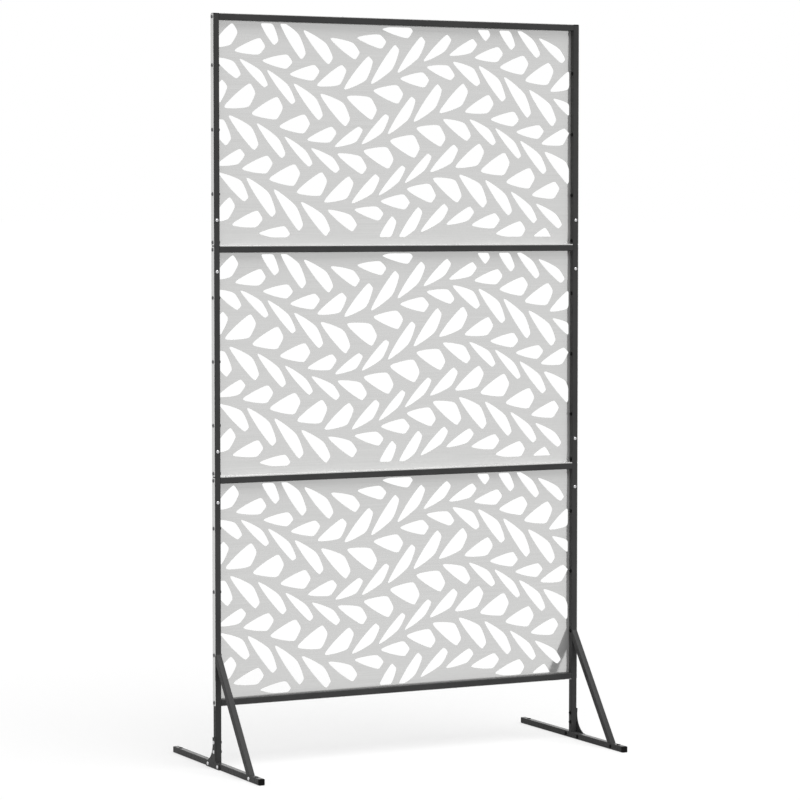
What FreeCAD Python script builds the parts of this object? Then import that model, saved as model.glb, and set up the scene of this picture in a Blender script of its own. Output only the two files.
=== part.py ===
import FreeCAD, Part
import math
import os
import re

# Free-standing privacy screen of square steel tube with three leaf-cut steel trays.
# Frame: +X along the screen, +Y to the rear, +Z up, origin on the ground at the centre, millimetres.

SIZES = {
    # Trays and the space they stand in
    "panel_width": 1000,
    "panel_height": 550,
    "panel_ground_gap": 150,
    "sheet_thickness": 1,
    "flange_depth": 14,
    "notch_clearance": 0.5,
    "field_border": 20,
    "side_bolt_offset": 152,
    # Leaf cut-outs
    "leaf_stem_pitch": 138,
    "leaf_stem_width": 12,
    "leaf_step": 72,
    "leaf_lead": 70,
    "leaf_web": 11,
    "leaf_tip_overlap": 3,
    "leaf_wave_height": 46,
    "leaf_wave_length": 640,
    "leaf_sway": 15,
    "leaf_sway_length": 500,
    "smallest_leaf_side": 23,
    # Square tube
    "tube_size": 15,
    "tube_wall": 1.2,
    "tube_corner": 1.2,
    # Post joints
    "joiner_length": 150,
    "joiner_thickness": 3.4,
    "joiner_screw_offset": 61,
    # Rail ends
    "insert_length": 20,
    "insert_thread": 14,
    # Feet
    "foot_tube_length": 500,
    "foot_cap_head": 6,
    "foot_cap_plug": 12,
    "anchor_inset": 25,
    "anchor_hole": 6.5,
    # Post tops
    "post_cap_head": 2,
    "post_cap_plug": 4,
    "cap_chamfer": 0.8,
    # Braces
    "brace_foot_inset": 53,
    "tongue_thickness": 3,
    "tongue_length": 58,
    "tongue_end": 7,
    # Gussets
    "gusset_thickness": 2.5,
    "gusset_height": 75,
    "gusset_short_arm": 30,
    "gusset_long_arm": 46,
    "gusset_flare_start": 70,
    "gusset_flare_end": 40,
    "gusset_fillet": 5,
    "gusset_post_bolt_low": 40,
    "gusset_post_bolt_high": 63,
    "gusset_short_bolt": 22,
    "gusset_long_bolt": 35,
    # Fasteners
    "bolt_square": 4,
    "bolt_head_width": 9,
    "bolt_head_height": 2.4,
    "bolt_end": 1.5,
    "nut_flats": 7,
    "nut_height": 3.2,
    "screw_square": 3.5,
    "screw_head_width": 8,
    "screw_head_height": 2,
    # Clearances, and how far a cutting tool runs past what it cuts
    "fit_clearance": 0.1,
    "hole_clearance": 0.15,
    "overrun": 2,
}

# Leaf shape: powers and shares of the leaf that no length sets
RIB_POWER = 1.1
TAPER_POWER = 3
FRONT_SHARE = 0.2
BELLY_SHARE = 0.7
END_SHARE = 0.95
TIP_SHARE = 0.2
ROW_SHIFT_SHARE = 0.37
SWAY_SHIFT_SHARE = 0.33

# Gusset: how far along its run and rise the middle of a hollow curve lies
HOLLOW_SHARE = 0.29

HEX_SIDES = 6
BOX_LONG_EDGES = (1, 3, 5, 7)
SIDES = {"left": -1, "right": 1}
CORNER_SIGNS = ((-1, -1), (1, -1), (1, 1), (-1, 1))
UP = FreeCAD.Vector(0, 0, 1)
ALONG_X = FreeCAD.Vector(1, 0, 0)
ALONG_Y = FreeCAD.Vector(0, 1, 0)

# Places worked out from the sizes, as formulas
POST_X = "(panel_width / 2 - sheet_thickness - tube_size / 2)"
POST_OUTER_X = "(panel_width / 2 - sheet_thickness)"
POST_INNER_X = "(panel_width / 2 - sheet_thickness - tube_size)"
PANEL_SIDE_X = "(panel_width / 2)"
GUSSET_SIDE_X = f"({POST_OUTER_X} + gusset_thickness)"
BORE = "(tube_size - 2 * tube_wall)"
WALL_MIDDLE = "(tube_size / 2 - tube_wall / 2)"
PLUG = "(tube_size - 2 * tube_wall - 2 * fit_clearance)"
BOLT_HOLE = "(bolt_square + 2 * hole_clearance)"
LOWER_SEAM_Z = "(panel_ground_gap + panel_height)"
UPPER_SEAM_Z = "(panel_ground_gap + 2 * panel_height)"
TOP_Z = "(panel_ground_gap + 3 * panel_height)"
RAIL_DROP = "(sheet_thickness + tube_size / 2)"
BRACE_REACH = "(foot_tube_length / 2 - brace_foot_inset)"
BRACE_TOP_Z = "(panel_ground_gap + panel_height / 2 - side_bolt_offset)"
BRACE_RISE = "(panel_ground_gap + panel_height / 2 - side_bolt_offset - tube_size / 2)"
BRACE_SPAN = f"sqrt({BRACE_REACH} ^ 2 + {BRACE_RISE} ^ 2)"

doc = FreeCAD.newDocument("privacy_screen")
sheet = doc.addObject("Spreadsheet::Sheet", "sizes")
for row, (name, size) in enumerate(SIZES.items(), start=1):
    sheet.set(f"A{row}", name)
    sheet.set(f"B{row}", str(size))
    sheet.setAlias(f"B{row}", name)
doc.recompute()

nodes = []


def formula(text):
    """The same formula with each size's name looked up in the sheet."""
    return re.sub(r"[a-z_]+", lambda word: "sizes." + word[0] if word[0] in SIZES else word[0], text)


def value(text):
    """The number that a formula comes to."""
    return float(sheet.evalExpression(formula(text)))


def bind(item, **formulas):
    """Bind properties to the sheet; two underscores in a name stand for a dot."""
    for name, text in formulas.items():
        item.setExpression(name.replace("__", "."), formula(text))


def move(item, x="0", y="0", z="0"):
    bind(item, Placement__Base__x=x, Placement__Base__y=y, Placement__Base__z=z)


def turn(item, axis, degrees):
    item.Placement = FreeCAD.Placement(FreeCAD.Vector(), FreeCAD.Rotation(axis, degrees))


def block(name, length, width, height, x="0", y="0", z="0"):
    """A block whose centre lies at x, y, z."""
    item = doc.addObject("Part::Box", name)
    bind(item, Length=length, Width=width, Height=height)
    move(item, f"{x} - ({length}) / 2", f"{y} - ({width}) / 2", f"{z} - ({height}) / 2")
    return item


def prism(name, width, height, z="0"):
    """An upright hexagon prism of the given width across its flats, from z upwards."""
    item = doc.addObject("Part::Prism", name)
    item.Polygon = HEX_SIDES
    bind(item, Circumradius=f"({width}) / sqrt(3)", Height=height)
    move(item, z=z)
    return item


def fuse(name, pieces):
    item = doc.addObject("Part::MultiFuse", name)
    item.Shapes = pieces
    return item


def cut(name, base, tools):
    item = doc.addObject("Part::Cut", name)
    item.Base = base
    item.Tool = tools[0] if len(tools) == 1 else fuse(f"{name}_tools", tools)
    return item


def node(item, label):
    """Hand an object in as a sub-part under its own label."""
    item.Label = label
    nodes.append(item)
    return item


def square_tube(name, length, cuts):
    """A square tube from z = 0 up to its length, corners eased, with its bore and cuts taken out."""
    outer = block(f"{name}_outer", "tube_size", "tube_size", length, z=f"({length}) / 2")
    outer.recompute()
    eased = doc.addObject("Part::Chamfer", f"{name}_eased")
    eased.Base = outer
    corner = value("tube_corner")
    eased.Edges = [(edge, corner, corner) for edge in BOX_LONG_EDGES]
    bore = block(f"{name}_bore", BORE, BORE, f"{length} + 2 * overrun", z=f"({length}) / 2")
    return cut(name, eased, [bore] + cuts)


def side_hole(name, y="0", z="0"):
    """A square hole along X through both side walls of a tube."""
    return block(name, "tube_size + 2 * overrun", BOLT_HOLE, BOLT_HOLE, y=y, z=z)


def group(label, master, places):
    """Copies of one fastener as separate solids in one sub-part."""
    master.recompute(True)
    copies = []
    for place in places:
        copy = master.Shape.copy()
        copy.Placement = place
        copies.append(copy)
    item = doc.addObject("Part::Feature", label)
    item.Shape = Part.Compound(copies)
    return node(item, label)


def inward(side, x, y, z):
    """A place on one side of the screen whose Z axis points to the middle."""
    base = FreeCAD.Vector(side * value(x), value(y), value(z))
    return FreeCAD.Placement(base, FreeCAD.Rotation(UP, ALONG_X * -side))


# Levels of the bolts that pass through the sides of the trays
PANEL_BOTTOMS = {
    "lower": "panel_ground_gap",
    "middle": LOWER_SEAM_Z,
    "upper": UPPER_SEAM_Z,
}
SIDE_BOLT_DROPS = (
    RAIL_DROP,
    "panel_height / 2 - side_bolt_offset",
    "panel_height / 2",
    "panel_height / 2 + side_bolt_offset",
    f"panel_height - {RAIL_DROP}",
)


def side_bolt_levels(panel_name):
    """Heights of one tray's side bolts, from the top down."""
    bottom = PANEL_BOTTOMS[panel_name]
    return [f"({bottom} + panel_height - ({drop}))" for drop in SIDE_BOLT_DROPS]


# A rail lies behind the top bolts of each tray, and one more behind the bottom bolts of the lowest
UPPER_LEVELS, MIDDLE_LEVELS, LOWER_LEVELS = (side_bolt_levels(name) for name in ("upper", "middle", "lower"))
RAIL_LEVELS = UPPER_LEVELS[:1] + MIDDLE_LEVELS[:1] + LOWER_LEVELS[:1] + LOWER_LEVELS[-1:]
TRAY_LEVELS = UPPER_LEVELS[1:] + MIDDLE_LEVELS[1:] + LOWER_LEVELS[1:-1]


# Posts: three sections on each side, butted at the seams of the trays
POST_SECTIONS = {
    "lower": ("tube_size", LOWER_SEAM_Z),
    "middle": (LOWER_SEAM_Z, UPPER_SEAM_Z),
    "upper": (UPPER_SEAM_Z, f"({TOP_Z} - post_cap_head)"),
}
SCREW_LEVELS = {
    "lower": (f"{LOWER_SEAM_Z} - joiner_screw_offset",),
    "middle": (f"{LOWER_SEAM_Z} + joiner_screw_offset", f"{UPPER_SEAM_Z} - joiner_screw_offset"),
    "upper": (f"{UPPER_SEAM_Z} + joiner_screw_offset",),
}


def screw_hole(name, wall, y, z):
    """A square hole along Y through a wall whose middle lies at y."""
    width = "screw_square + 2 * hole_clearance"
    return block(name, width, f"{wall} + 2 * overrun", width, y=y, z=z)


def tongue_slot(name, along, across, z):
    """A slot through the wall at the tube's -Y side, long enough for a tongue that leaves it at a slant.

    Along and across are the brace's reach along this tube and away from it.
    """
    width = "tongue_thickness + 2 * fit_clearance"
    length = f"({BORE} * {BRACE_SPAN} + tube_wall * {along}) / {across} + 2 * fit_clearance"
    return block(name, width, "tube_wall + 2 * fit_clearance", length, y=f"-{WALL_MIDDLE}", z=z)


def post_section(side_name, section):
    """One post tube with its bolt holes, front screw holes and, low down, the slot for the brace."""
    name = f"{side_name}_post_{section}"
    start, end = POST_SECTIONS[section]
    levels = side_bolt_levels(section)
    if section == "lower":
        levels += ["gusset_post_bolt_low", "gusset_post_bolt_high"]
    cuts = [side_hole(f"{name}_hole_{i}", z=f"{level} - {start}") for i, level in enumerate(levels)]
    for i, level in enumerate(SCREW_LEVELS[section]):
        cuts.append(screw_hole(f"{name}_screw_{i}", "tube_wall", f"-{WALL_MIDDLE}", f"{level} - {start}"))
    if section == "lower":
        level = f"{BRACE_TOP_Z} - {WALL_MIDDLE} * {BRACE_RISE} / {BRACE_REACH} - {start}"
        cuts.append(tongue_slot(f"{name}_slot", BRACE_RISE, BRACE_REACH, level))
    post = square_tube(name, f"({end} - {start})", cuts)
    move(post, f"{SIDES[side_name]} * {POST_X}", z=start)
    node(post, name)


for side_name in SIDES:
    for section in POST_SECTIONS:
        post_section(side_name, section)


# Joiners: flat bars behind the front walls of the posts, tapped for the screws
def joiner(side_name, level_name, seam):
    name = f"{side_name}_{level_name}_joiner"
    bar = block(f"{name}_bar", PLUG, "joiner_thickness", "joiner_length")
    holes = [
        screw_hole(f"{name}_hole_{i}", "joiner_thickness", "0", f"{sign} * joiner_screw_offset")
        for i, sign in enumerate((-1, 1))
    ]
    item = cut(name, bar, holes)
    front_wall = "(tube_size / 2 - tube_wall - fit_clearance)"
    move(item, f"{SIDES[side_name]} * {POST_X}", f"joiner_thickness / 2 - {front_wall}", seam)
    node(item, name)


for side_name in SIDES:
    joiner(side_name, "lower", LOWER_SEAM_Z)
    joiner(side_name, "upper", UPPER_SEAM_Z)


# Rails: four tubes that butt against the inner faces of the posts
RAIL_NAMES = ("top_rail", "upper_middle_rail", "lower_middle_rail", "bottom_rail")
for name, level in zip(RAIL_NAMES, RAIL_LEVELS):
    rail = square_tube(name, f"(2 * {POST_INNER_X})", [])
    turn(rail, ALONG_Y, 90)
    move(rail, f"-{POST_INNER_X}", z=level)
    node(rail, name)

insert_body = block("insert_body", PLUG, PLUG, "insert_length", z="insert_length / 2")
insert_through = "insert_length + 2 * overrun"
insert_hole = block("insert_hole", BOLT_HOLE, BOLT_HOLE, insert_through, z="insert_length / 2")
insert = cut("insert_master", insert_body, [insert_hole])
rail_ends = [inward(side, POST_INNER_X, "0", level) for side in SIDES.values() for level in RAIL_LEVELS]
group("rail_end_inserts", insert, rail_ends)


# Panels: trays folded from one sheet, flanges forward, leaf cut-outs through the sheet
def origin_plane(body, role):
    return next(feature for feature in body.Origin.OriginFeatures if feature.Role == role)


def new_sketch(body, name, role="XY_Plane"):
    sketch = body.newObject("Sketcher::SketchObject", name)
    sketch.AttachmentSupport = [(origin_plane(body, role), "")]
    sketch.MapMode = "FlatFace"
    return sketch


def outline(points):
    """A closed outline of straight lines through the points."""
    corners = [FreeCAD.Vector(x, y, 0) for x, y in points]
    return [Part.LineSegment(start, end) for start, end in zip(corners, corners[1:] + corners[:1])]


def rectangle(width, height):
    """Corners in order round the origin."""
    return [(right * width / 2, up * height / 2) for right, up in CORNER_SIGNS]


def body_cut(body, name, length, width, height, x="0", y="0", z="0"):
    """A block taken out of a body, its centre at x, y, z."""
    item = body.newObject("PartDesign::SubtractiveBox", name)
    bind(item, Length=length, Width=width, Height=height)
    move(item, f"{x} - ({length}) / 2", f"{y} - ({width}) / 2", f"{z} - ({height}) / 2")
    return item


def clip(points, axis, limit, sign):
    """The part of a convex outline whose coordinate on the axis lies inside one limit."""
    kept = []
    for start, end in zip(points, points[1:] + points[:1]):
        inside_start = sign * (limit - start[axis])
        inside_end = sign * (limit - end[axis])
        if inside_start >= 0:
            kept.append(start)
        if inside_start * inside_end < 0:
            share = inside_start / (inside_start - inside_end)
            kept.append(tuple(a + share * (b - a) for a, b in zip(start, end)))
    return kept


def outline_area(points):
    return abs(sum(a[0] * b[1] - b[0] * a[1] for a, b in zip(points, points[1:] + points[:1]))) / 2


class LeafField:
    """Wavy stems one above the other, with leaves leaning forward on both sides of each stem.

    A leaf's points are given by a distance along the stem and a share of the way from the stem's edge to
    the swaying line halfway to the next stem. Leaves of facing stems are half a step apart, so that their
    tips interlock.
    """

    def __init__(self):
        self.width = value("panel_width - 2 * field_border")
        self.height = value("panel_height - 2 * field_border")
        self.pitch = value("leaf_stem_pitch")
        self.half_stem = value("leaf_stem_width / 2")
        self.step = value("leaf_step")
        self.lead = value("leaf_lead")
        self.half_web = value("leaf_web / 2")
        self.overlap = value("leaf_tip_overlap")
        self.wave = value("leaf_wave_height")
        self.wave_turn = 2 * math.pi / value("leaf_wave_length")
        self.sway = value("leaf_sway")
        self.sway_length = value("leaf_sway_length")
        self.smallest_area = value("smallest_leaf_side ^ 2")

    def stem(self, row, x):
        return row * self.pitch + self.wave * math.sin(self.wave_turn * x)

    def reach(self, row, side, x):
        """How far the leaves on one side of a stem reach from its centre line."""
        lower_row = row if side > 0 else row - 1
        swing = self.sway * math.sin(2 * math.pi * (x / self.sway_length + SWAY_SHIFT_SHARE * lower_row))
        return self.pitch / 2 + side * swing + self.overlap

    def leaf(self, row, side, start):
        """Four corners: the point at the stem, the front edge's start and belly, and the back edge's end."""
        middle = start + (self.step + self.lead) / 2
        length = self.reach(row, side, middle) - self.half_stem
        slope = self.wave * self.wave_turn * math.cos(self.wave_turn * middle)
        gap = self.half_web * math.hypot(self.lead, side * length + slope * self.lead) / length
        tip = TIP_SHARE * self.step

        def corner(edge, share):
            x = start + edge + (tip - edge) * share ** TAPER_POWER + self.lead * share ** RIB_POWER
            rise = self.half_stem + share * (self.reach(row, side, x) - self.half_stem)
            return x, self.stem(row, x) + side * rise

        back, front = gap, self.step - gap
        return [
            corner(back, 0),
            corner(front, FRONT_SHARE),
            corner(front, BELLY_SHARE),
            corner(back, END_SHARE),
        ]

    def leaves(self):
        """All leaves of the field, cut straight where they meet its border; slivers are left out."""
        rows = math.ceil((self.height / 2 + self.wave) / self.pitch)
        for row in range(-rows, rows + 1):
            for side in (1, -1):
                shift = ROW_SHIFT_SHARE * (row if side > 0 else row - 1) + (0 if side > 0 else 1 / 2)
                start = -self.width / 2 - self.lead + self.step * (shift % 1 - 2)
                while start < self.width / 2:
                    points = self.leaf(row, side, start)
                    for axis, limit in ((0, self.width / 2), (1, self.height / 2)):
                        points = clip(points, axis, limit, 1)
                        points = clip(points, axis, -limit, -1)
                    if outline_area(points) > self.smallest_area:
                        yield points
                    start += self.step


def panel(name, bottom):
    """A tray drawn face on, X to the right, Y up and Z towards the front, its centre at the origin."""
    body = doc.addObject("PartDesign::Body", name)
    width, height = value("panel_width"), value("panel_height")
    lip = 2 * value("sheet_thickness")

    rim = new_sketch(body, f"{name}_rim")
    edge = outline(rectangle(width, height))
    rim.addGeometry(edge + outline(rectangle(width - lip, height - lip)), False)
    flanges = body.newObject("PartDesign::Pad", f"{name}_flanges")
    flanges.Profile = rim
    bind(flanges, Length="sheet_thickness + flange_depth")

    notch = ("tube_size + notch_clearance", "sheet_thickness + overrun", "flange_depth + overrun")
    notch_x = f"({POST_OUTER_X} - (tube_size + notch_clearance) / 2)"
    notch_y = "(panel_height / 2 - sheet_thickness / 2 + overrun / 2)"
    notch_z = "(sheet_thickness + flange_depth / 2 + overrun / 2)"
    for i, (right, up) in enumerate(CORNER_SIGNS):
        body_cut(body, f"{name}_notch_{i}", *notch, f"{right} * {notch_x}", f"{up} * {notch_y}", notch_z)

    across = "panel_width + 2 * overrun"
    for i, drop in enumerate(SIDE_BOLT_DROPS):
        hole_y = f"(panel_height / 2 - ({drop}))"
        body_cut(body, f"{name}_hole_{i}", across, BOLT_HOLE, BOLT_HOLE, y=hole_y, z=RAIL_DROP)

    face = new_sketch(body, f"{name}_face")
    cutouts = [line for leaf in LeafField().leaves() for line in outline(leaf)]
    face.addGeometry(edge + cutouts, False)
    plate = body.newObject("PartDesign::Pad", f"{name}_plate")
    plate.Profile = face
    bind(plate, Length="sheet_thickness")

    turn(body, ALONG_X, 90)
    move(body, y="tube_size / 2 + sheet_thickness", z=f"{bottom} + panel_height / 2")
    node(body, name)


for level_name, bottom in PANEL_BOTTOMS.items():
    panel(f"{level_name}_panel", bottom)


# Feet: tubes along Y under the posts, with anchor holes, bolt holes and the slot for the brace
def gusset_bolt_ys(side):
    """The gusset flares to the rear on the left leg and to the front on the right leg."""
    return [f"{side} * gusset_short_bolt", f"-{side} * gusset_long_bolt"]


def foot(side_name):
    name = f"{side_name}_foot"
    side = SIDES[side_name]

    def along(y):
        return f"(foot_tube_length / 2 + ({y}))"

    bolts = gusset_bolt_ys(side) + [f"-{BRACE_REACH}"]
    cuts = [side_hole(f"{name}_hole_{i}", z=along(y)) for i, y in enumerate(bolts)]
    for i, sign in enumerate((-1, 1)):
        anchor = doc.addObject("Part::Cylinder", f"{name}_anchor_{i}")
        bind(anchor, Radius="anchor_hole / 2", Height="tube_size + 2 * overrun")
        turn(anchor, ALONG_X, 90)
        move(anchor, y="tube_size / 2 + overrun", z=along(f"{sign} * (foot_tube_length / 2 - anchor_inset)"))
        cuts.append(anchor)
    slot_y = f"-{BRACE_REACH} + {WALL_MIDDLE} * {BRACE_REACH} / {BRACE_RISE}"
    cuts.append(tongue_slot(f"{name}_slot", BRACE_REACH, BRACE_RISE, along(slot_y)))
    item = square_tube(name, "foot_tube_length", cuts)
    turn(item, ALONG_X, -90)
    move(item, f"{side} * {POST_X}", "-foot_tube_length / 2", "tube_size / 2")
    node(item, name)


for side_name in SIDES:
    foot(side_name)


# End caps: a chamfered head as wide as the tube, on a plug that fits its bore
def end_cap(name, head, plug):
    """The head lies from z = 0 upwards and the plug below it."""
    head_block = block(f"{name}_head", "tube_size", "tube_size", head, z=f"{head} / 2")
    head_block.recompute()
    crown = doc.addObject("Part::Chamfer", f"{name}_crown")
    crown.Base = head_block
    edge_size = value("cap_chamfer")
    top = head_block.Shape.BoundBox.ZMax
    edges = enumerate(head_block.Shape.Edges, start=1)
    crown.Edges = [(i, edge_size, edge_size) for i, edge in edges if edge.BoundBox.ZMin >= top]
    return fuse(name, [crown, block(f"{name}_plug", PLUG, PLUG, plug, z=f"-({plug}) / 2")])


foot_cap = end_cap("foot_cap_master", "foot_cap_head", "foot_cap_plug")
foot_ends = []
for right, rear in CORNER_SIGNS:
    base = FreeCAD.Vector(right * value(POST_X), rear * value("foot_tube_length / 2"), value("tube_size / 2"))
    foot_ends.append(FreeCAD.Placement(base, FreeCAD.Rotation(UP, ALONG_Y * rear)))
group("foot_end_caps", foot_cap, foot_ends)

post_cap = end_cap("post_cap_master", "post_cap_head", "post_cap_plug")
post_tops = []
for side in SIDES.values():
    base = FreeCAD.Vector(side * value(POST_X), 0, value(f"{TOP_Z} - post_cap_head"))
    post_tops.append(FreeCAD.Placement(base, FreeCAD.Rotation()))
group("post_top_caps", post_cap, post_tops)


# Braces: mitred tubes between the foot's top and the post's front, with a welded tongue at each end
def brace(side_name):
    """Drawn beside the post's centre line; the axis runs from the foot bolt to the post bolt."""
    name = f"{side_name}_brace"
    lean = -math.degrees(math.atan2(value(BRACE_REACH), value(BRACE_RISE)))

    def slanted(item):
        turn(item, ALONG_X, lean)
        move(item, y=f"-{BRACE_REACH}", z="tube_size / 2")
        return item

    def kept_within(item_name, item, front_face, floor):
        """What lies in front of one upright plane and above one level plane."""
        depth = f"({BRACE_REACH} + 2 * tube_size)"
        height = f"({BRACE_TOP_Z} + 2 * tube_size)"
        room = block(f"{item_name}_room", "2 * tube_size", depth, height,
                     y=f"{front_face} - {depth} / 2", z=f"{floor} + {height} / 2")
        kept = doc.addObject("Part::Common", item_name)
        kept.Base = item
        kept.Tool = room
        return kept

    tube = slanted(square_tube(f"{name}_tube", BRACE_SPAN, []))
    trimmed = kept_within(f"{name}_trimmed", tube, "-tube_size / 2", "tube_size")
    foot_bar = block(f"{name}_foot_bar", "tongue_thickness", BORE, "tongue_length",
                     z="tongue_length / 2 - tongue_end")
    post_bar = block(f"{name}_post_bar", "tongue_thickness", BORE, "tongue_length",
                     z=f"{BRACE_SPAN} + tongue_end - tongue_length / 2")
    bars = slanted(fuse(f"{name}_bars", [foot_bar, post_bar]))
    inside = "(tube_size / 2 - tube_wall - fit_clearance)"
    tongues = kept_within(f"{name}_tongues", bars, inside, "tube_wall + fit_clearance")
    welded = fuse(f"{name}_welded", [trimmed, tongues])
    holes = [
        side_hole(f"{name}_foot_hole", f"-{BRACE_REACH}", "tube_size / 2"),
        side_hole(f"{name}_post_hole", "0", BRACE_TOP_Z),
    ]
    item = cut(name, welded, holes)
    move(item, f"{SIDES[side_name]} * {POST_X}")
    node(item, name)


for side_name in SIDES:
    brace(side_name)


# Gussets: one plate on the outer face of each leg, the right one turned half round from the left one
def gusset(side_name):
    """Drawn flat from its outer face: X towards the flare, Y up, a fillet on the post's other side."""
    name = f"{side_name}_gusset"
    side = SIDES[side_name]
    body = doc.addObject("PartDesign::Body", name)
    half, tall = value("tube_size / 2"), value("tube_size")
    long_arm, short_arm = value("gusset_long_arm"), -value("gusset_short_arm")
    flare_top, flare_end = value("gusset_flare_start"), value("gusset_flare_end")
    top, fillet = value("gusset_height"), value("gusset_fillet")
    flare_middle = (
        half + HOLLOW_SHARE * (flare_end - half),
        tall + HOLLOW_SHARE * (flare_top - tall),
    )
    fillet_middle = (-half - HOLLOW_SHARE * fillet, tall + HOLLOW_SHARE * fillet)
    runs = [
        [(short_arm, 0), (long_arm, 0)],
        [(long_arm, 0), (long_arm, tall)],
        [(long_arm, tall), (flare_end, tall)],
        [(flare_end, tall), flare_middle, (half, flare_top)],
        [(half, flare_top), (half, top)],
        [(half, top), (-half, top)],
        [(-half, top), (-half, tall + fillet)],
        [(-half, tall + fillet), fillet_middle, (-half - fillet, tall)],
        [(-half - fillet, tall), (short_arm, tall)],
        [(short_arm, tall), (short_arm, 0)],
    ]
    face = new_sketch(body, f"{name}_face")
    edges = []
    for run in runs:
        points = [FreeCAD.Vector(x, y, 0) for x, y in run]
        edges.append(Part.LineSegment(*points) if len(points) == 2 else Part.Arc(*points))
    face.addGeometry(edges, False)
    plate = body.newObject("PartDesign::Pad", f"{name}_plate")
    plate.Profile = face
    bind(plate, Length="gusset_thickness")
    bolts = [
        ("0", "gusset_post_bolt_low"),
        ("0", "gusset_post_bolt_high"),
        ("-gusset_short_bolt", "tube_size / 2"),
        ("gusset_long_bolt", "tube_size / 2"),
    ]
    for i, (x, y) in enumerate(bolts):
        depth = "gusset_thickness + 2 * overrun"
        body_cut(body, f"{name}_hole_{i}", BOLT_HOLE, BOLT_HOLE, depth, x, y, "gusset_thickness / 2")
    upright = FreeCAD.Rotation(ALONG_X, 90)
    quarter = FreeCAD.Rotation(UP, -90 * side)
    body.Placement = FreeCAD.Placement(FreeCAD.Vector(), quarter * upright)
    move(body, f"{side} * {GUSSET_SIDE_X}")
    node(body, name)


for side_name in SIDES:
    gusset(side_name)


# Fasteners: bolts and screws with square shanks, and hexagon nuts
def headed(name, head_width, head_height, shank_width, length):
    """A fastener along +Z whose head seats at z = 0."""
    head = prism(f"{name}_head", head_width, head_height, f"-{head_height}")
    shank = block(f"{name}_shank", shank_width, shank_width, length, z=f"({length}) / 2")
    return fuse(name, [head, shank])


def bolt(name, length):
    return headed(name, "bolt_head_width", "bolt_head_height", "bolt_square", length)


nut_body = prism("nut_body", "nut_flats", "nut_height")
nut_hole = block("nut_hole", BOLT_HOLE, BOLT_HOLE, "nut_height + 2 * overrun", z="nut_height / 2")
nut = cut("nut_master", nut_body, [nut_hole])

through_length = "tube_size + nut_height + bolt_end"
panel_bolt = bolt("panel_bolt_master", f"sheet_thickness + {through_length}")
rail_bolt = bolt("rail_bolt_master", "sheet_thickness + tube_size + insert_thread")
gusset_bolt = bolt("gusset_bolt_master", f"gusset_thickness + {through_length}")
brace_bolt = bolt("brace_bolt_master", through_length)

sides = SIDES.values()
group("panel_side_bolts", panel_bolt, [inward(s, PANEL_SIDE_X, "0", z) for s in sides for z in TRAY_LEVELS])
group("panel_side_nuts", nut, [inward(s, POST_INNER_X, "0", z) for s in sides for z in TRAY_LEVELS])
group("rail_end_bolts", rail_bolt, [inward(s, PANEL_SIDE_X, "0", z) for s in sides for z in RAIL_LEVELS])


def gusset_places(x):
    places = []
    for side in SIDES.values():
        spots = [("0", "gusset_post_bolt_low"), ("0", "gusset_post_bolt_high")]
        spots += [(y, "tube_size / 2") for y in gusset_bolt_ys(side)]
        places += [inward(side, x, y, z) for y, z in spots]
    return places


group("gusset_bolts", gusset_bolt, gusset_places(GUSSET_SIDE_X))
group("gusset_nuts", nut, gusset_places(POST_INNER_X))
brace_spot = (f"-{BRACE_REACH}", "tube_size / 2")
group("brace_foot_bolts", brace_bolt, [inward(s, POST_OUTER_X, *brace_spot) for s in sides])
group("brace_foot_nuts", nut, [inward(s, POST_INNER_X, *brace_spot) for s in sides])

screw = headed("screw_master", "screw_head_width", "screw_head_height", "screw_square",
               "tube_wall + fit_clearance + joiner_thickness")
screw_places = []
for side in SIDES.values():
    for levels in SCREW_LEVELS.values():
        for level in levels:
            base = FreeCAD.Vector(side * value(POST_X), value("-tube_size / 2"), value(level))
            screw_places.append(FreeCAD.Placement(base, FreeCAD.Rotation(ALONG_X, -90)))
group("joiner_screws", screw, screw_places)

doc.recompute()
for item in doc.Objects:
    if "Invalid" in item.State or "Error" in item.State:
        raise RuntimeError(f"{item.Name} did not build: {item.State}")
for item in nodes:
    if item.Shape.isNull() or not item.Shape.isValid():
        raise RuntimeError(f"{item.Label} has no valid shape")

os.makedirs("parts", exist_ok=True)
for item in nodes:
    item.Shape.exportStep(f"parts/{item.Label}.step")
    print(f"{item.Label}: {len(item.Shape.Solids)} solids, {item.Shape.Volume:.1f} cubic mm")
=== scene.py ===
"""Looks of a free-standing privacy screen: three leaf-cut, bright steel trays in a dark square-tube frame.

Lengths are in metres, except in the tables of rings and caps, which are in millimetres.
The screen runs along X, its front looks to -Y and Z is up.
"""
import math

import bmesh
import bpy
import numpy as np
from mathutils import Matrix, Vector, geometry


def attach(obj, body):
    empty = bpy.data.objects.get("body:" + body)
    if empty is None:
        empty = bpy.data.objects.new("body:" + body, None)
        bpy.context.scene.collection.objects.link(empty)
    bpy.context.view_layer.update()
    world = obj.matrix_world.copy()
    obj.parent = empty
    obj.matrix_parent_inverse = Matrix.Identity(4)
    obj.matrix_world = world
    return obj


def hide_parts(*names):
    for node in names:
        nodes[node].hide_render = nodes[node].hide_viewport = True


MM = 0.001
MERGE_DISTANCE = 0.001 * MM
ALONG_X = np.array([1.0, 0.0, 0.0])
UP = np.array([0.0, 0.0, 1.0])
BOTH_WAYS = (-1, 1)

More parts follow.
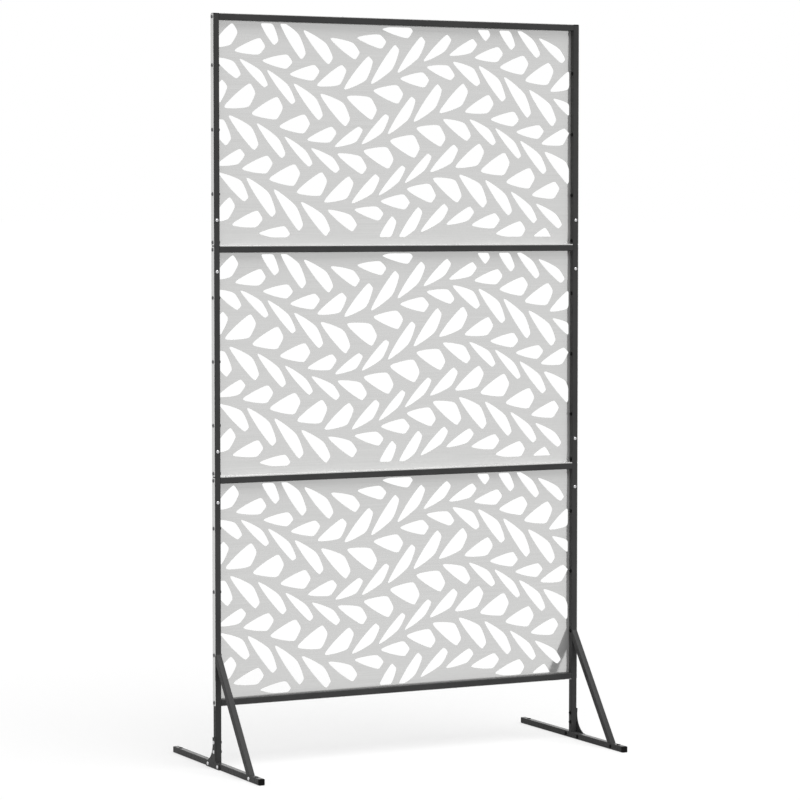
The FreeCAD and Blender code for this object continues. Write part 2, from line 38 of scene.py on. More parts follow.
# Sizes of the part, as its source has them
PANEL_WIDTH = 1000 * MM
PANEL_HEIGHT = 550 * MM
PANEL_GROUND_GAP = 150 * MM
SHEET = 1 * MM
FLANGE_DEPTH = 14 * MM
NOTCH_CLEARANCE = 0.5 * MM
FIELD_BORDER = 20 * MM
SIDE_BOLT_OFFSET = 152 * MM
TUBE = 15 * MM
JOINER_SCREW_OFFSET = 61 * MM
FOOT_TUBE_LENGTH = 500 * MM
ANCHOR_INSET = 25 * MM
BRACE_FOOT_INSET = 53 * MM
GUSSET_THICKNESS = 2.5 * MM
GUSSET_POST_BOLTS = (40 * MM, 63 * MM)
GUSSET_SHORT_BOLT = 22 * MM
GUSSET_LONG_BOLT = 35 * MM

# Places that follow from these sizes
PANEL_SIDE_X = PANEL_WIDTH / 2
POST_OUTER_X = PANEL_SIDE_X - SHEET
POST_INNER_X = POST_OUTER_X - TUBE
POST_X = POST_OUTER_X - TUBE / 2
NOTCH_X = POST_INNER_X - NOTCH_CLEARANCE
SHEET_FRONT_Y = TUBE / 2
SHEET_BACK_Y = SHEET_FRONT_Y + SHEET
FOOT_END_Y = FOOT_TUBE_LENGTH / 2
FOOT_LEVEL = TUBE / 2
SCREEN_TOP = PANEL_GROUND_GAP + 3 * PANEL_HEIGHT
PANEL_BOTTOMS = {
    "lower": PANEL_GROUND_GAP,
    "middle": PANEL_GROUND_GAP + PANEL_HEIGHT,
    "upper": PANEL_GROUND_GAP + 2 * PANEL_HEIGHT,
}
SEAMS = (PANEL_BOTTOMS["middle"], PANEL_BOTTOMS["upper"])

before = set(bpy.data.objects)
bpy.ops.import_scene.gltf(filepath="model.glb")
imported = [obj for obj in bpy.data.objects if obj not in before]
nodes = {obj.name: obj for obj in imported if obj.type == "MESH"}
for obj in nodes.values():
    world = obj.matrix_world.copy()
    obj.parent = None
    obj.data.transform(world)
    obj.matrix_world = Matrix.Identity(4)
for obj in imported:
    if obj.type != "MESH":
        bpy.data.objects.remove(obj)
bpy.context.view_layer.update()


def mesh_piece(name, vertices, faces, smooth_angle=30):
    """A mesh object from arrays, doubles merged, smooth where faces meet at less than the given angle."""
    mesh = bpy.data.meshes.new(name)
    mesh.from_pydata(np.asarray(vertices).reshape(-1, 3).tolist(), [], [tuple(face) for face in faces])
    work = bmesh.new()
    work.from_mesh(mesh)
    bmesh.ops.remove_doubles(work, verts=work.verts, dist=MERGE_DISTANCE)
    bmesh.ops.dissolve_degenerate(work, edges=work.edges, dist=MERGE_DISTANCE)
    bmesh.ops.recalc_face_normals(work, faces=work.faces)
    work.to_mesh(mesh)
    work.free()
    mesh.polygons.foreach_set("use_smooth", np.ones(len(mesh.polygons), dtype=bool))
    mesh.set_sharp_from_angle(angle=math.radians(smooth_angle))
    piece = bpy.data.objects.new(name, mesh)
    bpy.context.collection.objects.link(piece)
    return piece


def grid_faces(rows, columns):
    """Quads of a grid whose vertices are numbered row by row, and whose rows close on themselves."""
    row = np.arange(rows - 1)[:, None]
    column = np.arange(columns)[None, :]
    next_column = (column + 1) % columns
    corners = [row * columns + column, row * columns + next_column,
               (row + 1) * columns + next_column, (row + 1) * columns + column]
    return np.stack(corners, axis=-1).reshape(-1, 4)


# Leaf cut-outs, by the same formula as the solid trays
STEM_PITCH = 138 * MM
HALF_STEM = 6 * MM
LEAF_STEP = 72 * MM
LEAF_LEAD = 70 * MM
HALF_WEB = 5.5 * MM
TIP_OVERLAP = 3 * MM
WAVE_HEIGHT = 46 * MM
WAVE_TURN = 2 * math.pi / (640 * MM)
SWAY = 15 * MM
SWAY_LENGTH = 500 * MM
SMALLEST_LEAF = (23 * MM) ** 2
RIB_POWER = 1.1
TAPER_POWER = 3
FRONT_SHARE = 0.2
BELLY_SHARE = 0.7
END_SHARE = 0.95
TIP_SHARE = 0.2
ROW_SHIFT_SHARE = 0.37
SWAY_SHIFT_SHARE = 0.33
FIELD_HALF = np.array([PANEL_WIDTH / 2 - FIELD_BORDER, PANEL_HEIGHT / 2 - FIELD_BORDER])

# What the solid leaves lack: bulging sides and rounded corners
SIDE_BULGE = 0.03
CORNER_CUTS = (0.2, 0.25, 0.25)


def stem_height(row, x):
    """Stems are sine waves one pitch apart."""
    return row * STEM_PITCH + WAVE_HEIGHT * np.sin(WAVE_TURN * x)


def leaf_reach(row, side, x):
    """From a stem's centre to the swaying line halfway to the next stem, plus a little overlap."""
    lower = row if side > 0 else row - 1
    swing = SWAY * np.sin(2 * math.pi * (x / SWAY_LENGTH + SWAY_SHIFT_SHARE * lower))
    return STEM_PITCH / 2 + side * swing + TIP_OVERLAP


def leaf_corners(row, side, start):
    """Corners of all leaves on one side of a stem, as an array of leaves by corners by x and z.

    A corner lies a share of the way from the stem's edge to the reach line: the leaf's point at the stem,
    the front edge's start and belly, and the back edge's end. Its place along the stem starts at the back
    or front edge, leans forward with a power of the share and draws in to the tip with another.
    """
    middle = start + (LEAF_STEP + LEAF_LEAD) / 2
    length = leaf_reach(row, side, middle) - HALF_STEM
    slope = WAVE_HEIGHT * WAVE_TURN * np.cos(WAVE_TURN * middle)
    gap = HALF_WEB * np.hypot(LEAF_LEAD, side * length + slope * LEAF_LEAD) / length
    edge = np.stack([gap, LEAF_STEP - gap, LEAF_STEP - gap, gap], axis=1)
    share = np.array([0, FRONT_SHARE, BELLY_SHARE, END_SHARE])
    draw_in = (TIP_SHARE * LEAF_STEP - edge) * share ** TAPER_POWER
    x = start[:, None] + edge + draw_in + LEAF_LEAD * share ** RIB_POWER
    rise = HALF_STEM + share * (leaf_reach(row, side, x) - HALF_STEM)
    return np.stack([x, stem_height(row, x) + side * rise], axis=2)


def clip(outline, axis, limit, sign):
    """The part of a convex outline on the inner side of one straight limit.

    Corners inside stay, and a side that crosses the limit adds the point where it does.
    """
    following = np.roll(outline, -1, axis=0)
    inside = sign * (limit - outline[:, axis])
    inside_next = sign * (limit - following[:, axis])
    crosses = inside * inside_next < 0
    share = np.where(crosses, inside / np.where(crosses, inside - inside_next, 1), 0)[:, None]
    crossing = outline + share * (following - outline)
    points = np.stack([outline, crossing], axis=1).reshape(-1, 2)
    return points[np.stack([inside >= 0, crosses], axis=1).reshape(-1)]


def outline_area(outline):
    """Half the sum of the cross products of neighbouring corners, positive when counter-clockwise."""
    following = np.roll(outline, -1, axis=0)
    return (outline[:, 0] * following[:, 1] - following[:, 0] * outline[:, 1]).sum() / 2


def softened(outline):
    """A counter-clockwise outline with bulging sides and rounded corners.

    The middle of each side moves outward by a share of its length, unless the side lies on the field's
    border. Then each corner gives way to two points, a ratio along its two sides, and so on again.
    """
    following = np.roll(outline, -1, axis=0)
    run = following - outline
    on_border = np.isclose(np.abs(outline), FIELD_HALF) & np.isclose(np.abs(following), FIELD_HALF)
    bulge = np.where(on_border.any(axis=1), 0, SIDE_BULGE)[:, None]
    middle = (outline + following) / 2 + bulge * np.stack([run[:, 1], -run[:, 0]], axis=1)
    outline = np.stack([outline, middle], axis=1).reshape(-1, 2)
    for ratio in CORNER_CUTS:
        following = np.roll(outline, -1, axis=0)
        near = outline + ratio * (following - outline)
        far = following + ratio * (outline - following)
        outline = np.stack([near, far], axis=1).reshape(-1, 2)
    return outline


def leaf_outlines():
    """Leaf outlines in the tray's plane, counter-clockwise, cut straight at the field's border.

    Leaves stand one step apart along both sides of each stem. Those that face each other across the gap
    between two stems are half a step apart, and each gap is shifted from the one below by a share of the
    step. Leaves that come out too small at the border are dropped.
    """
    outlines = []
    rows = math.ceil((FIELD_HALF[1] + WAVE_HEIGHT) / STEM_PITCH)
    for row in range(-rows, rows + 1):
        for side in (1, -1):
            shift = ROW_SHIFT_SHARE * (row if side > 0 else row - 1) + (0 if side > 0 else 0.5)
            first = -FIELD_HALF[0] - LEAF_LEAD + LEAF_STEP * (shift % 1 - 2)
            start = np.arange(first, FIELD_HALF[0], LEAF_STEP)
            for leaf in leaf_corners(row, side, start):
                for axis in (0, 1):
                    for sign in (1, -1):
                        leaf = clip(leaf, axis, sign * FIELD_HALF[axis], sign)
                area = outline_area(leaf) if len(leaf) > 2 else 0
                if abs(area) > SMALLEST_LEAF:
                    outlines.append(softened(leaf if area > 0 else leaf[::-1]))
    return outlines


# Folded trays
FOLD_RADIUS = 1.5 * MM
FOLD_POINTS = 6
INSIDE_TRIANGLES = 1
TRIANGULATION_DISTANCE = 0.0001 * MM


def fold_profile():
    """Inner and outer lines of a folded edge: out from the sheet's flat, and the depth it has reached.

    A quarter turn about one centre, with radii one sheet apart, then straight on to the flange's end.
    """
    angle = np.linspace(0, math.pi / 2, FOLD_POINTS)
    centre_y = SHEET_BACK_Y - FOLD_RADIUS
    lines = []
    for radius in (FOLD_RADIUS - SHEET, FOLD_RADIUS):
        out = np.append(radius * np.sin(angle), radius)
        depth = np.append(centre_y + radius * np.cos(angle), SHEET_FRONT_Y - FLANGE_DEPTH)
        lines.append(np.stack([out, depth], axis=1))
    return lines


def folded_flange(start, end, outward):
    """The fold profile carried straight from one point of the flat's edge to another, ends closed.

    Start, end and outward are x and z in the tray's plane. The side that meets the flat stays open.
    """
    inner, outer = fold_profile()
    loop = np.concatenate([inner, outer[::-1]])
    count = len(inner)
    stations = np.array([start, end])
    place = stations[:, None, :] + loop[None, :, :1] * np.array(outward)[None, None, :]
    depth = np.broadcast_to(loop[None, :, 1], place.shape[:2])
    vertices = np.stack([place[..., 0], depth, place[..., 1]], axis=2).reshape(-1, 3)
    open_side = count * 2 - 1
    faces = [face for face in grid_faces(2, 2 * count).tolist() if not {0, open_side} <= set(face)]
    step = np.arange(count - 1)
    for base in (0, 2 * count):
        cap = [base + step, base + step + 1, base + open_side - step - 1, base + open_side - step]
        faces += np.stack(cap, axis=1).tolist()
    return vertices, faces


def tray(name, centre_z, leaves):
    """A folded steel tray: the leaf-cut flat, its cut edges, and four flanges folded forward.

    The flat is a triangulation of its border less the leaves, laid at the sheet's front and back. The
    border goes round from the lower left corner. Between a corner and a notch point no flange is folded.
    """
    half_x = PANEL_WIDTH / 2 - FOLD_RADIUS
    half_z = PANEL_HEIGHT / 2 - FOLD_RADIUS
    border = np.array([
        (-half_x, -half_z), (-NOTCH_X, -half_z), (NOTCH_X, -half_z), (half_x, -half_z),
        (half_x, half_z), (NOTCH_X, half_z), (-NOTCH_X, half_z), (-half_x, half_z),
    ])
    unfolded = [(0, 1), (2, 3), (4, 5), (6, 7)]
    folded = [
        ((NOTCH_X, half_z), (-NOTCH_X, half_z), (0, 1)),
        ((-NOTCH_X, -half_z), (NOTCH_X, -half_z), (0, -1)),
        ((half_x, -half_z), (half_x, half_z), (1, 0)),
        ((-half_x, half_z), (-half_x, -half_z), (-1, 0)),
    ]
    loops = [border] + leaves
    ends = np.cumsum([len(loop) for loop in loops])
    index_loops = [np.arange(end - len(loop), end) for loop, end in zip(loops, ends)]
    points, _, triangles, _, _, origins = geometry.delaunay_2d_cdt(
        [Vector(point) for point in np.concatenate(loops)], [], [loop.tolist() for loop in index_loops],
        INSIDE_TRIANGLES, TRIANGULATION_DISTANCE)
    flat = np.array([tuple(point) for point in points])
    metal = np.array([face for face, origin in zip(triangles, origins) if origin == [0]])
    count = len(flat)
    front = np.stack([flat[:, 0], np.full(count, SHEET_FRONT_Y), flat[:, 1]], axis=1)
    back = front + np.array([0, SHEET, 0])
    parts = [np.concatenate([front, back])]
    faces = metal.tolist() + (metal[:, ::-1] + count).tolist()
    for loop in index_loops[1:]:
        after = np.roll(loop, -1)
        faces += np.stack([loop, after, after + count, loop + count], axis=1).tolist()
    faces += [(b, a, a + count, b + count) for a, b in unfolded]
    total = 2 * count
    for start, end, outward in folded:
        vertices, flange = folded_flange(start, end, outward)
        parts.append(vertices)
        faces += (np.array(flange) + total).tolist()
        total += len(vertices)
    vertices = np.concatenate(parts) + np.array([0, 0, centre_z])
    return mesh_piece(name, vertices, faces)


# Bolts, nuts, screws, rims and caps: their tables are in millimetres
ROUND_SEGMENTS = 36
NUT_SEGMENTS = 48
DOME_RINGS = 7
CHAMFER_WIDTH = 0.5
CHAMFER_HEIGHT = 0.6
BOLT_RADIUS = 2
BOLT_HEAD_RADIUS = 4.5
NUT_BORE_DEPTH = 2.1
NUT_GRIP = 1.9
RAIL_BOLT_LENGTH = 30
FOOT_CAP_HEAD = 6
FOOT_CAP_PLUG = 12
POST_CAP_HEAD = 2
POST_CAP_PLUG = 4


def set_out(local, face_groups, places, across):
    """Copies of one shape at many places, each place an origin and the axis that the shape's Z takes there.

    The shape's X takes the direction across, or the world's X where the axis runs that way itself, and
    its Y is the cross product of the two.
    """
    vertices = []
    faces = []
    for origin, axis in places:
        axis = np.array(axis, dtype=float)
        first = across if abs(axis @ across) < 0.5 else ALONG_X
        basis = np.stack([first, np.cross(axis, first), axis])
        offset = len(vertices) * len(local)
        for group in face_groups:
            faces += (group + offset).tolist()
        vertices.append(local @ basis + np.array(origin))
    return np.concatenate(vertices), faces


def turned(rings, places, segments=ROUND_SEGMENTS):
    """Round and hexagon pieces: rings of (half width, height, limit) joined in order, at many places.

    At an angle, the ring's radius is the hexagon's with that half width, but no more than the limit.
    Height is counted along the place's axis.
    """
    rings = np.array(rings) * MM
    angle = 2 * math.pi * np.arange(segments) / segments
    off_flat = (angle + math.pi / 6) % (math.pi / 3) - math.pi / 6
    radius = np.minimum(rings[:, :1] / np.cos(off_flat)[None, :], rings[:, 2:])
    height = np.broadcast_to(rings[:, 1:2], radius.shape)
    local = np.stack([radius * np.cos(angle), radius * np.sin(angle), height], axis=2)
    return set_out(local.reshape(-1, 3), [grid_faces(len(rings), segments)], places, UP)


def round_ring(radius, height):
    """A circle: a hexagon that the limit cuts down to the circle inside it."""
    return radius, height, radius


def hexagon_ring(half_width, height, limit=math.inf):
    """A hexagon, with corners cut round at the limit."""
    return half_width, height, limit


def dome(radius, rim, top, inner=0.0):
    """Rings of a low dome from its crown, or the edge of its socket, out to its rim: a quarter ellipse."""
    lean = np.linspace(math.asin(inner / radius), math.pi / 2, DOME_RINGS)
    return [round_ring(radius * math.sin(a), -rim - (top - rim) * math.cos(a)) for a in lean]


def shank(radius, length):
    """Rings of a plain shank with a small chamfer at its end."""
    return [round_ring(radius, 0), round_ring(radius, length - CHAMFER_HEIGHT),
            round_ring(radius - CHAMFER_WIDTH, length), round_ring(0, length)]


def bolt_rings(length):
    """A bolt with a domed head on a thin rim."""
    head = dome(BOLT_HEAD_RADIUS, rim=0.5, top=2.4) + [round_ring(BOLT_HEAD_RADIUS, 0)]
    return head + shank(BOLT_RADIUS, length)


# A closed nut: blind bore, flange with a sloping top, hexagon with rounded corners and a low crown
NUT_RINGS = [
    round_ring(0, NUT_BORE_DEPTH), round_ring(2.05, NUT_BORE_DEPTH), round_ring(2.05, 0),
    round_ring(4.9, 0), round_ring(5.1, 0.2), round_ring(5.1, 0.5), round_ring(4.2, 0.9),
    hexagon_ring(3.5, 0.95, 4.0), hexagon_ring(3.5, 2.0, 4.0), hexagon_ring(3.5, 2.3, 3.8),
    round_ring(3.2, 2.6), round_ring(1.6, 2.8), round_ring(0, 2.85),
]

# Screws: a hexagon socket sunk in a low dome, a thin rim, and a shank
JOINER_SCREW_RINGS = [
    round_ring(0, -0.5), hexagon_ring(1.5, -0.5), hexagon_ring(1.5, -1.9), hexagon_ring(1.6, -2.0),
    *dome(4, rim=0.4, top=2.1, inner=1.9), round_ring(4, 0), *shank(1.75, 4.7),
]
RAIL_SCREW_RINGS = [
    round_ring(0, -0.4), hexagon_ring(1.2, -0.4), hexagon_ring(1.2, -1.5),
    *dome(3.4, rim=0.3, top=1.6, inner=1.5), round_ring(3.4, 0), *shank(1.7, 2.4),
]

# A low rim round an anchor hole: up its bore, over its rounded top, down its outside and back underneath
RIM_RINGS = [
    round_ring(3.3, 0), round_ring(3.3, 0.6), round_ring(3.6, 0.9), round_ring(4.6, 0.9),
    round_ring(5, 0.6), round_ring(5, 0), round_ring(3.3, 0),
]


def rounded_square(half, corner, steps=6):
    """Points round a square: a quarter circle at each corner, joined by straight sides."""
    quarter = np.arange(4)[:, None]
    angle = quarter * math.pi / 2 + np.linspace(0, math.pi / 2, steps)[None, :]
    centre = quarter * math.pi / 2 + math.pi / 4
    reach = (half - corner) * math.sqrt(2)
    x = reach * np.cos(centre) + corner * np.cos(angle)
    y = reach * np.sin(centre) + corner * np.sin(angle)
    return np.stack([x, y], axis=2).reshape(-1, 2)


def capped(sections, places):
    """Caps: rounded squares of (half width, corner radius, height) joined in order, closed at both ends."""
    rings = []
    for half, corner, height in sections:
        ring = rounded_square(half * MM, corner * MM)
        rings.append(np.column_stack([ring, np.full(len(ring), height * MM)]))
    local = np.concatenate(rings)
    side = len(rings[0])
    closing = np.stack([np.arange(side)[::-1], np.arange(len(local) - side, len(local))])
    return set_out(local, [grid_faces(len(sections), side), closing], places, ALONG_X)


def cap_sections(head, plug):
    """From the plug's end up to the tube's mouth, then round the head's soft edge to its dished face."""
    return [
        (5.6, 1.0, -plug), (6.2, 1.2, -plug + 0.8), (6.2, 1.2, 0),
        (7.5, 1.9, 0), (7.5, 1.9, head - 0.9), (7.3, 1.8, head - 0.3), (6.8, 1.6, head),
        (5.4, 1.2, head), (5.0, 1.0, head - 0.35),
    ]


# Materials: a factor goes from dark to light, or from low to high, between these two values of it
FACTOR_LOW = 0.3
FACTOR_HIGH = 0.7


def new_material(name):
    """A node material and its helpers: the tree, the shader and object coordinates."""
    material = bpy.data.materials.new(name)
    material.use_nodes = True
    tree = material.node_tree
    shader = tree.nodes["Principled BSDF"]
    place = tree.nodes.new("ShaderNodeTexCoord").outputs["Object"]
    return material, tree, shader, place


def grey(value):
    """A neutral shade."""
    return value, value, value


def stretched(tree, place, scale):
    """Coordinates scaled by a different amount along each axis, so that a noise turns into lines."""
    mapping = tree.nodes.new("ShaderNodeMapping")
    mapping.inputs["Scale"].default_value = scale
    tree.links.new(place, mapping.inputs["Vector"])
    return mapping.outputs["Vector"]


def noise(tree, place, scale, detail=2.0):
    """The factor of a noise; its scale is about how many blotches a metre holds."""
    texture = tree.nodes.new("ShaderNodeTexNoise")
    texture.inputs["Scale"].default_value = scale
    texture.inputs["Detail"].default_value = detail
    tree.links.new(place, texture.inputs["Vector"])
    return texture.outputs["Fac"]


def ranged(tree, factor, low, high, start=FACTOR_LOW, end=FACTOR_HIGH):
    """Map a factor between start and end to a value between low and high."""
    node = tree.nodes.new("ShaderNodeMapRange")
    node.inputs["From Min"].default_value = start
    node.inputs["From Max"].default_value = end
    node.inputs["To Min"].default_value = low
    node.inputs["To Max"].default_value = high
    tree.links.new(factor, node.inputs["Value"])
    return node.outputs["Result"]


def coloured(tree, shader, factor, dark, light):
    """Base colour between two shades, as a factor says."""
    ramp = tree.nodes.new("ShaderNodeValToRGB")
    for stop, position, shade in zip(ramp.color_ramp.elements, (FACTOR_LOW, FACTOR_HIGH), (dark, light)):
        stop.position = position
        stop.color = (*shade, 1)
    tree.links.new(factor, ramp.inputs["Fac"])
    tree.links.new(ramp.outputs["Color"], shader.inputs["Base Color"])


def roughened(tree, shader, factor, low, high):
    """Roughness between two values, as a factor says."""
    tree.links.new(ranged(tree, factor, low, high), shader.inputs["Roughness"])


def bumped(tree, shader, factor, strength, distance):
    """Relief as high as a distance, as a factor says."""
    bump = tree.nodes.new("ShaderNodeBump")
    bump.inputs["Strength"].default_value = strength
    bump.inputs["Distance"].default_value = distance
    tree.links.new(factor, bump.inputs["Height"])
    tree.links.new(bump.outputs["Normal"], shader.inputs["Normal"])


def powder_coat():
    """Dark grey satin powder coat: faint cloudiness, fine orange peel, sheen that varies a little."""
    material, tree, shader, place = new_material("powder_coat")
    coloured(tree, shader, noise(tree, place, 9.0, detail=4.0), grey(0.060), grey(0.074))
    roughened(tree, shader, noise(tree, place, 60.0), 0.24, 0.32)
    shader.inputs["Specular IOR Level"].default_value = 0.05
    bumped(tree, shader, noise(tree, place, 1400.0), strength=0.12, distance=0.05 * MM)
    return material


def bright_sheet():
    """Bright zinc-coated sheet, half mirror and half dull: fine rolling lines along X, faint cloudiness."""
    material, tree, shader, place = new_material("bright_sheet")
    lines = noise(tree, stretched(tree, place, (6.0, 6.0, 900.0)), 1.0, detail=3.0)
    coloured(tree, shader, lines, (0.69, 0.69, 0.683), (0.77, 0.77, 0.763))
    roughened(tree, shader, noise(tree, place, 5.0, detail=3.0), 0.06, 0.15)
    shader.inputs["Metallic"].default_value = 0.5
    bumped(tree, shader, lines, strength=0.05, distance=0.004 * MM)
    return material


def zinc_plate(name, dark, light):
    """Zinc plate with small crystal patches between two shades; darker shades give a copy with painted
    shade, for bolts that stand in shade.
    """
    material, tree, shader, place = new_material(name)
    cells = tree.nodes.new("ShaderNodeTexVoronoi")
    cells.inputs["Scale"].default_value = 900.0
    tree.links.new(place, cells.inputs["Vector"])
    coloured(tree, shader, cells.outputs["Distance"], dark, light)
    roughened(tree, shader, noise(tree, place, 500.0), 0.2, 0.34)
    shader.inputs["Metallic"].default_value = 1.0
    return material


def black_plate():
    """Black-plated nuts: nearly black, with a dull shine."""
    material, tree, shader, place = new_material("black_plate")
    mottled = noise(tree, place, 400.0, detail=3.0)
    coloured(tree, shader, mottled, grey(0.002), grey(0.005))
    roughened(tree, shader, mottled, 0.4, 0.55)
    shader.inputs["Specular IOR Level"].default_value = 0.1
    bumped(tree, shader, noise(tree, place, 2500.0), strength=0.1, distance=0.02 * MM)
    return material


def moulded_plastic():
    """Black moulded plastic with a fine spark-eroded grain."""
    material, tree, shader, place = new_material("moulded_plastic")
    patches = noise(tree, place, 150.0)
    coloured(tree, shader, patches, grey(0.003), grey(0.006))
    roughened(tree, shader, patches, 0.5, 0.62)
    shader.inputs["Specular IOR Level"].default_value = 0.1
    bumped(tree, shader, noise(tree, place, 3000.0), strength=0.15, distance=0.03 * MM)
    return material


COAT = powder_coat()
STEEL = bright_sheet()
ZINC = zinc_plate("zinc_plate", (0.50, 0.50, 0.51), (0.62, 0.62, 0.63))
# The same zinc with painted shade: darker shades for the bolts on the outer sides of the posts
SHADED_ZINC = zinc_plate("shaded_zinc_plate", (0.09, 0.09, 0.092), (0.14, 0.14, 0.142))
BLACK = black_plate()
PLASTIC = moulded_plastic()


def give_finish(item, material):
    """Give an object one material in place of what it had."""
    item.data.materials.clear()
    item.data.materials.append(material)


def dress(piece, material, slot, *replaced):
    """Finish a new piece, ride it on the only body, and hide the nodes that it stands for; the slot is not
    used.
    """
    give_finish(piece, material)
    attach(piece, "root")
    if replaced:
        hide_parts(*replaced)


# Trays
leaves = leaf_outlines()
for name, bottom in PANEL_BOTTOMS.items():
    dress(tray(f"{name}_tray", bottom + PANEL_HEIGHT / 2, leaves), STEEL, "panel_steel", f"{name}_panel")

# Levels of rails and side bolts, counted down each tray; a seam's rail belongs to the tray below it
RAIL_DROP = SHEET + TUBE / 2
BOLT_DROPS = np.array([
    RAIL_DROP, PANEL_HEIGHT / 2 - SIDE_BOLT_OFFSET, PANEL_HEIGHT / 2, PANEL_HEIGHT / 2 + SIDE_BOLT_OFFSET,
    PANEL_HEIGHT - RAIL_DROP,
])
levels = {name: bottom + PANEL_HEIGHT - BOLT_DROPS for name, bottom in PANEL_BOTTOMS.items()}
rail_levels = [levels["upper"][0], levels["middle"][0], levels["lower"][0], levels["lower"][-1]]
tray_levels = [*levels["upper"][1:], *levels["middle"][1:], *levels["lower"][1:-1]]


def inward(x, spots):
    """Places at a distance either side of the middle, with axes that point to it; a spot is y and z."""
    return [((side * x, y, z), (-side, 0, 0)) for side in BOTH_WAYS for y, z in spots[side]]


def both(spots):
    """The same spots on the left and on the right."""
    return {side: spots for side in BOTH_WAYS}


def gusset_spots(side):
    """Bolts of one gusset: two up the post and one on each of its arms along the foot.

    The right gusset is the left one turned half round: its short arm looks to the rear, not to the front.
    """
    post = [(0, height) for height in GUSSET_POST_BOLTS]
    return post + [(side * GUSSET_SHORT_BOLT, FOOT_LEVEL), (-side * GUSSET_LONG_BOLT, FOOT_LEVEL)]


def length_into_nut(head_x):
    """Millimetres from under a bolt's head to its grip in a nut on the inner side of the post."""
    return (head_x - POST_INNER_X) / MM + NUT_GRIP


# Bolts and nuts
tray_spots = both([(0, z) for z in tray_levels])
rail_spots = both([(0, z) for z in rail_levels])
leg_spots = {side: gusset_spots(side) for side in BOTH_WAYS}
brace_spots = both([(BRACE_FOOT_INSET - FOOT_END_Y, FOOT_LEVEL)])
gusset_x = POST_OUTER_X + GUSSET_THICKNESS
# Bolts on the trays' sides and the rails' ends take the zinc with painted shade
bolt_sets = [
    ("panel_side_bolts", SHADED_ZINC, length_into_nut(PANEL_SIDE_X), PANEL_SIDE_X, tray_spots),
    ("rail_end_bolts", SHADED_ZINC, RAIL_BOLT_LENGTH, PANEL_SIDE_X, rail_spots),
    ("gusset_bolts", ZINC, length_into_nut(gusset_x), gusset_x, leg_spots),
    ("brace_foot_bolts", ZINC, length_into_nut(POST_OUTER_X), POST_OUTER_X, brace_spots),
]
for node, finish, length, x, spots in bolt_sets:
    piece = mesh_piece(f"{node}_domed", *turned(bolt_rings(length), inward(x, spots)))
    dress(piece, finish, "bolt_zinc", node)
nut_sets = [("panel_side_nuts", tray_spots), ("gusset_nuts", leg_spots), ("brace_foot_nuts", brace_spots)]
for node, spots in nut_sets:
    piece = mesh_piece(f"{node}_flanged", *turned(NUT_RINGS, inward(POST_INNER_X, spots), NUT_SEGMENTS))
    dress(piece, BLACK, "nut_black", node)

# Screws in the posts' fronts, above and below each seam
joiner_screws = [((side * POST_X, -TUBE / 2, seam + way * JOINER_SCREW_OFFSET), (0, 1, 0))
                 for side in BOTH_WAYS for seam in SEAMS for way in BOTH_WAYS]
piece = mesh_piece("joiner_screws_socketed", *turned(JOINER_SCREW_RINGS, joiner_screws))
dress(piece, ZINC, "bolt_zinc", "joiner_screws")

# Small screws that hold the trays' long flanges to the rails
RAIL_SCREW_X = (-465 * MM, -155 * MM, 155 * MM, 465 * MM)
flange_tops = [SCREEN_TOP] + [seam + SHEET for seam in SEAMS]
rail_screws = [((x, 0, z), (0, 0, -1)) for z in flange_tops for x in RAIL_SCREW_X]
rail_screws += [((x, 0, PANEL_GROUND_GAP), (0, 0, 1)) for x in RAIL_SCREW_X]
dress(mesh_piece("rail_screws", *turned(RAIL_SCREW_RINGS, rail_screws)), ZINC, "bolt_zinc")

# Caps in the ends of the feet and on the posts
foot_ends = [((side * POST_X, end * FOOT_END_Y, FOOT_LEVEL), (0, end, 0))
             for side in BOTH_WAYS for end in BOTH_WAYS]
piece = mesh_piece("foot_end_plugs", *capped(cap_sections(FOOT_CAP_HEAD, FOOT_CAP_PLUG), foot_ends))
dress(piece, PLASTIC, "cap_plastic", "foot_end_caps")
post_tops = [((side * POST_X, 0, SCREEN_TOP - POST_CAP_HEAD * MM), (0, 0, 1)) for side in BOTH_WAYS]
piece = mesh_piece("post_top_plugs", *capped(cap_sections(POST_CAP_HEAD, POST_CAP_PLUG), post_tops))
dress(piece, PLASTIC, "cap_plastic", "post_top_caps")

# Low black rims round the anchor holes in the tops of the feet
anchor_y = FOOT_END_Y - ANCHOR_INSET
anchor_holes = [((side * POST_X, end * anchor_y, TUBE), (0, 0, 1))
                for side in BOTH_WAYS for end in BOTH_WAYS]
dress(mesh_piece("anchor_hole_rims", *turned(RIM_RINGS, anchor_holes)), PLASTIC, "cap_plastic")

# Solids that stay: joiners and inserts in zinc, tubes, braces and gussets coated and with eased edges
ZINC_ENDINGS = ("_joiner", "_inserts")
COATED_ENDINGS = ("_foot", "_brace", "_gusset", "_rail", "_lower", "_middle", "_upper")
EASED_WIDTH = 0.35 * MM
EASED_ANGLE = 35
for name, node in nodes.items():
    if name.endswith(ZINC_ENDINGS):
        give_finish(node, ZINC)
    elif name.endswith(COATED_ENDINGS):
        give_finish(node, COAT)
        weld = node.modifiers.new("weld", "WELD")
        weld.merge_threshold = 0.01 * MM
        bevel = node.modifiers.new("eased", "BEVEL")
        bevel.width = EASED_WIDTH
        bevel.segments = 2
        bevel.limit_method = "ANGLE"
        bevel.angle_limit = math.radians(EASED_ANGLE)

# Stage: a wide pale floor, even white surroundings and soft lamps
FLOOR_REACH = 2000.0
FLOOR_LIFT = 0.6
AMBIENT = 0.35
WHITE = 1.0
scene = bpy.context.scene
scene.view_settings.view_transform = "Standard"


def seen_directly(tree):
    """1 for rays that show the surroundings: those of the camera, and those mirrored or passed on to it."""
    path = tree.nodes.new("ShaderNodeLightPath")
    rays = [path.outputs[name] for name in ("Is Camera Ray", "Is Glossy Ray", "Is Transmission Ray")]
    total = rays[0]
    for ray in rays[1:]:
        larger = tree.nodes.new("ShaderNodeMath")
        larger.operation = "MAXIMUM"
        tree.links.new(total, larger.inputs[0])
        tree.links.new(ray, larger.inputs[1])
        total = larger.outputs[0]
    return total


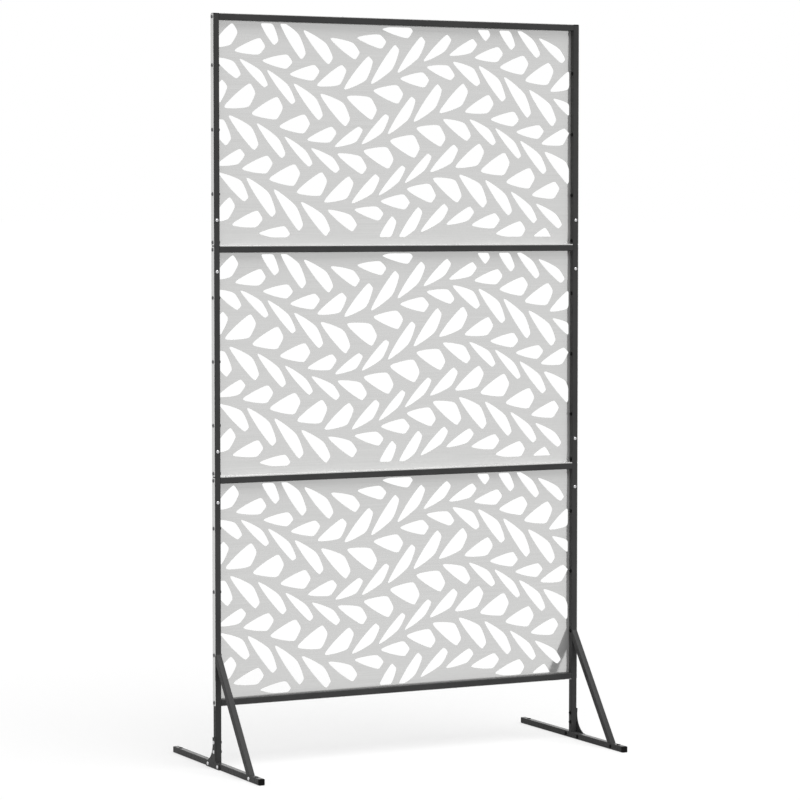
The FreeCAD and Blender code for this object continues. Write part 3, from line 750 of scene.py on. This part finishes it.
def pale_floor():
    """Pale diffuse floor; where it is seen, some light of its own lifts it to the background's white."""
    material, tree, shader, _ = new_material("pale_floor")
    shader.inputs["Base Color"].default_value = (*grey(0.4), 1)
    shader.inputs["Roughness"].default_value = 1.0
    shader.inputs["Specular IOR Level"].default_value = 0.0
    shader.inputs["Emission Color"].default_value = (*grey(WHITE), 1)
    lift = tree.nodes.new("ShaderNodeMath")
    lift.operation = "MULTIPLY"
    lift.inputs[1].default_value = FLOOR_LIFT
    tree.links.new(seen_directly(tree), lift.inputs[0])
    tree.links.new(lift.outputs[0], shader.inputs["Emission Strength"])
    return material


floor_mesh = bpy.data.meshes.new("floor")
floor_corners = [(x * FLOOR_REACH, y * FLOOR_REACH, 0) for x, y in ((-1, -1), (1, -1), (1, 1), (-1, 1))]
floor_mesh.from_pydata(floor_corners, [], [(0, 1, 2, 3)])
floor = bpy.data.objects.new("floor", floor_mesh)
floor_mesh.materials.append(pale_floor())
bpy.context.collection.objects.link(floor)

world = bpy.data.worlds.new("white_studio")
scene.world = world
world.use_nodes = True
sky_tree = world.node_tree
sky = sky_tree.nodes["Background"]
sky.inputs["Color"].default_value = (*grey(WHITE), 1)
sky_strength = ranged(sky_tree, seen_directly(sky_tree), AMBIENT, WHITE, start=0.0, end=1.0)
sky_tree.links.new(sky_strength, sky.inputs["Strength"])


def soft_sun(name, direction, spread, strength):
    """An even lamp from far off, shining along a direction, wide enough for soft shadows."""
    lamp = bpy.data.lights.new(name, "SUN")
    lamp.energy = strength
    lamp.angle = math.radians(spread)
    holder = bpy.data.objects.new(name, lamp)
    holder.rotation_euler = Vector(direction).to_track_quat("-Z", "Y").to_euler()
    bpy.context.collection.objects.link(holder)


soft_sun("key_lamp", direction=(-0.1, 0.5, -1.0), spread=50, strength=2.2)
soft_sun("rear_lamp", direction=(-0.45, -0.89, -0.35), spread=60, strength=0.5)

# Camera: long lens from the front left, a little above half height and looking slightly down
CAMERA_DOWN = 3.351
CAMERA_TURN = -27.059
camera_data = bpy.data.cameras.new("camera")
camera_data.sensor_width = 36.0
camera_data.lens = 139.74
camera = bpy.data.objects.new("camera", camera_data)
camera.location = (-3.458, -6.768, 1.316)
camera.rotation_euler = (math.radians(90 - CAMERA_DOWN), 0, math.radians(CAMERA_TURN))
bpy.context.collection.objects.link(camera)
scene.camera = camera
